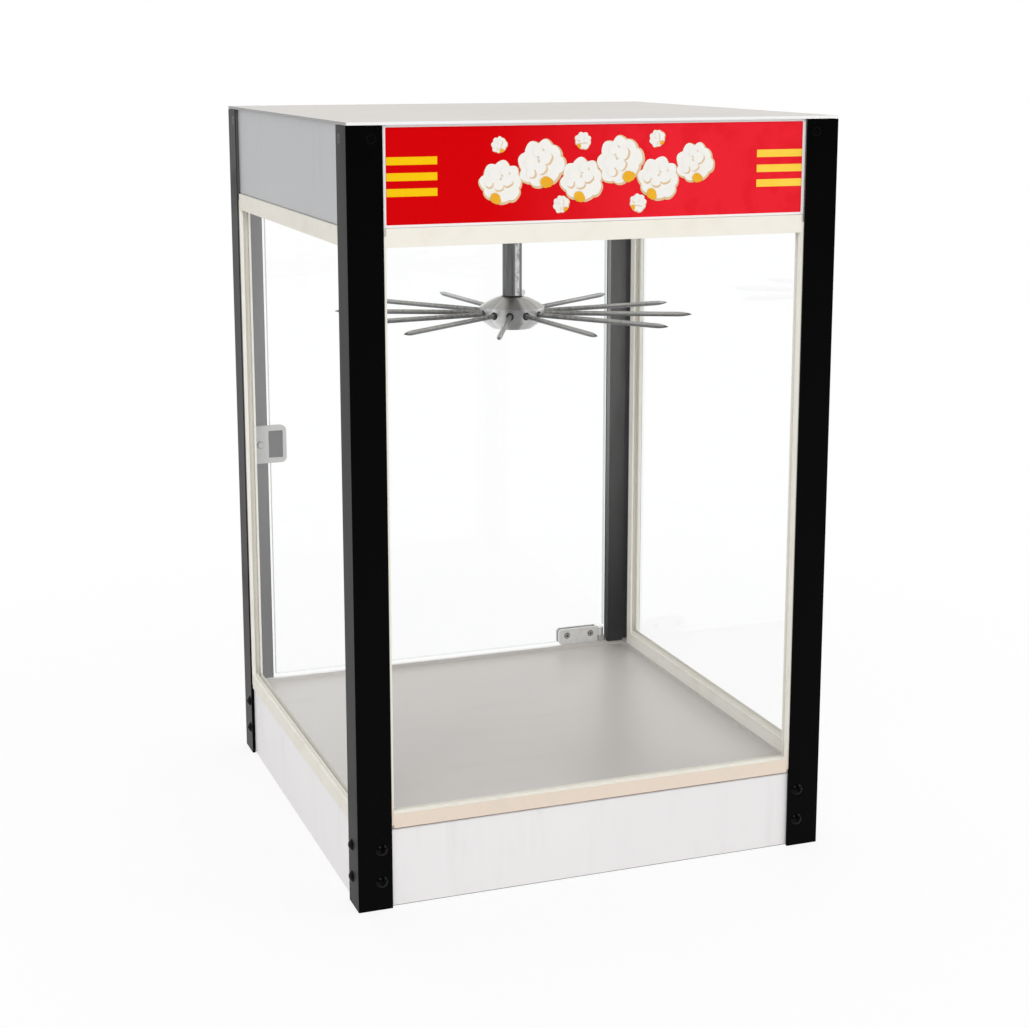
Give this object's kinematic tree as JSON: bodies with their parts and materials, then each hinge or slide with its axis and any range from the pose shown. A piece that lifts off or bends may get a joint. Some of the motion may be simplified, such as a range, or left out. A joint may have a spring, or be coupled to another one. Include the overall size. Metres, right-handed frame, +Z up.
{
  "type": "popcorn display cabinet",
  "caption": "Heated countertop display cabinet: glazed box on four angle posts, lit hood with sign, rear glass door and a turning rack of pointed rods.",
  "frame": {"origin": "centre of the underside, at the level of the posts' feet", "axes": "+X to the right seen from the front, +Y to the rear (the door side), +Z up; the sign faces -Y"},
  "size_m": [0.4628, 0.477, 0.6929],
  "materials": {
    "black_paint": "semi-gloss black enamel",
    "white_paint": "semi-gloss off-white enamel",
    "steel_sheet": "satin",
    "bright_sheet": "bright satin",
    "black_oxide": "black oxide",
    "cream_channel": "satin cream",
    "pane": "clear",
    "sign_face": "glossy red print",
    "bright_steel": "polished",
    "zinc": "zinc plated",
    "turned_aluminium": "fine turned",
    "bronze": "plain bearing bronze",
    "dark_iron": "ferrite, matte",
    "black_plastic": "matte black",
    "ceramic_white": "glazed white",
    "lamp_glass": "frosted",
    "heater_sheath": "heat-darkened"
  },
  "bodies": {
    "cabinet": {"post_front_left": "black_paint", "post_front_right": "black_paint", "post_rear_left": "black_paint", "post_rear_right": "black_paint", "base_front_panel": "bright_sheet", "base_left_panel": "bright_sheet", "base_right_panel": "bright_sheet", "base_rear_panel": "bright_sheet", "bottom_pan": "steel_sheet", "deck_pan": "steel_sheet", "heater_element": "heater_sheath", "heater_clips": "zinc", "thermostat": "black_plastic", "hood_left_panel": "bright_sheet", "hood_right_panel": "bright_sheet", "hood_rear_panel": "bright_sheet", "sign_panel": "sign_face", "sign_frame": "steel_sheet", "roof_cover": "bright_sheet", "hood_ceiling": "white_paint", "front_glass": "pane", "left_glass": "pane", "right_glass": "pane", "front_glass_rails": "cream_channel", "left_glass_rails": "cream_channel", "right_glass_rails": "cream_channel", "front_glass_stiles": "cream_channel", "left_glass_stiles": "cream_channel", "right_glass_stiles": "cream_channel", "hinge_stile": "black_paint", "hinge_lugs": "bright_steel", "door_catch": "steel_sheet", "catch_magnet": "dark_iron", "catch_screw": "zinc", "post_screws": "black_oxide", "post_nuts": "zinc", "shaft_bearing": "bronze", "motor_bracket": "zinc", "gearbox": "turned_aluminium", "motor_stator": "dark_iron", "motor_screws": "zinc", "lamp_sockets": "ceramic_white", "lamp_bulbs": "lamp_glass", "lamp_lenses": "lamp_glass", "switch_bodies": "black_plastic", "cord_gland": "black_plastic"},
    "door": {"door_glass": "pane", "hinge_clamps": "bright_steel", "clamp_screws": "zinc", "strike_plate": "zinc", "door_pull": "turned_aluminium"},
    "rack": {"rack_shaft": "bright_steel", "rack_hub": "turned_aluminium", "rack_spokes": "bright_steel", "rack_screws": "zinc", "shaft_collar": "zinc", "output_shaft": "zinc"},
    "light_switch": {"light_rocker": "black_plastic"},
    "motor_switch": {"motor_rocker": "black_plastic"}
  },
  "joints": [
    {"name": "rack_spin", "type": "hinge", "parent": "cabinet", "child": "rack", "pos_m": [0, 0, 0.55], "axis": [0, 0, 1], "continuous": true},
    {"name": "door_swing", "type": "hinge", "parent": "cabinet", "child": "door", "pos_m": [0.1906, 0.2262, 0.3395], "axis": [0, 0, -1], "range_deg": [0, 100]},
    {"name": "light_switch_tilt", "type": "hinge", "parent": "cabinet", "child": "light_switch", "pos_m": [0.118, 0.22403, 0.648], "axis": [1, 0, 0], "range_deg": [0, 20]},
    {"name": "motor_switch_tilt", "type": "hinge", "parent": "cabinet", "child": "motor_switch", "pos_m": [0.156, 0.22403, 0.648], "axis": [1, 0, 0], "range_deg": [0, 20]}
  ]
}
